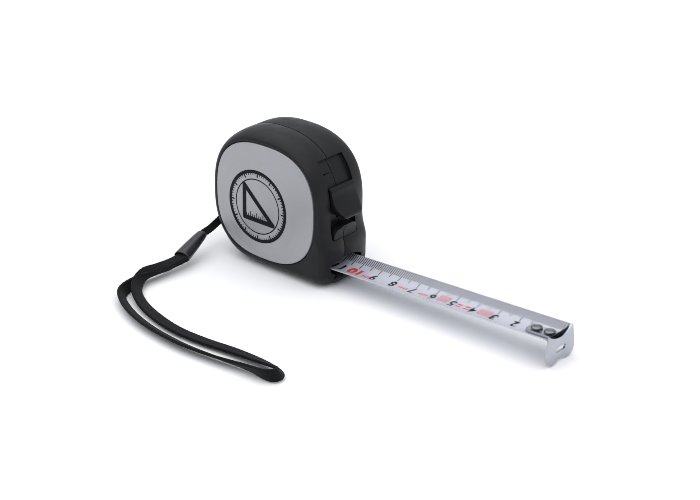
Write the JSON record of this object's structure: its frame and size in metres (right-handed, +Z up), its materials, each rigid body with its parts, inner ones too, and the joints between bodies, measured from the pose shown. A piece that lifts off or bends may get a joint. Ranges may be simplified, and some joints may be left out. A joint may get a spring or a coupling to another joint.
{
  "type": "pocket tape measure",
  "caption": "Pocket steel tape measure, blade partly drawn out and locked, with a thumb lock, end hook, belt clip and wrist strap.",
  "frame": {"origin": "on the flat base of the case, midway along it and under the middle of the blade", "axes": "+X out along the blade, +Y towards the belt clip side, +Z up"},
  "size_m": [0.1727, 0.1104, 0.0603],
  "materials": {
    "shell": "satin black moulded plastic",
    "panel": "satin silver paint",
    "steel": "bright zinc plating",
    "spring_steel": "blue-grey tempered steel",
    "drum": "natural moulded plastic",
    "blade": "satin white lacquer with black and red scale",
    "lock": "black moulded plastic, ribbed",
    "rubber": "matte",
    "clip": "satin nickel plating",
    "sleeve": "smooth soft plastic",
    "webbing": "black woven"
  },
  "bodies": {
    "case": {"right_shell": "shell", "left_shell": "shell", "right_panel": "panel", "left_panel": "panel", "case_screw_1": "steel", "case_screw_2": "steel", "case_screw_3": "steel", "case_screw_4": "steel", "spring_arbor": "steel", "tape_lead": "blade", "mouth_bumper": "rubber", "belt_clip": "clip", "clip_screw": "steel", "strap_pin": "steel", "strap_lash": "webbing", "strap_sleeve": "sleeve", "wrist_strap": "webbing"},
    "drum": {"spool_drum": "drum", "spool_cover": "drum", "tape_coil": "blade", "recoil_spring": "spring_steel"},
    "blade": {"tape_blade": "blade", "hook_rivet_1": "steel", "hook_rivet_2": "steel"},
    "hook": {"end_hook": "steel"},
    "lock": {"lock_button": "lock", "brake_pad": "rubber"}
  },
  "joints": [
    {"name": "drum_spin", "type": "hinge", "parent": "case", "child": "drum", "pos_m": [-0.0005, 0, 0.031], "axis": [0, 1, 0], "range_deg": [0, 282]},
    {"name": "blade_draw", "type": "slide", "parent": "case", "child": "blade", "axis": [0.9994, 0, 0.0349], "range_m": [-0.1042, 0], "deforming": ["tape_blade", "tape_lead"]},
    {"name": "hook_float", "type": "slide", "parent": "blade", "child": "hook", "axis": [0.9994, 0, 0.0349], "range_m": [0, 0.0009]},
    {"name": "lock_slide", "type": "hinge", "parent": "case", "child": "lock", "pos_m": [-0.0005, 0, 0.031], "axis": [0, -1, 0], "range_deg": [0, 17]}
  ],
  "couplings": [
    {"joint": "blade_draw", "follows": "drum_spin", "m_per_rad": -0.02115}
  ]
}
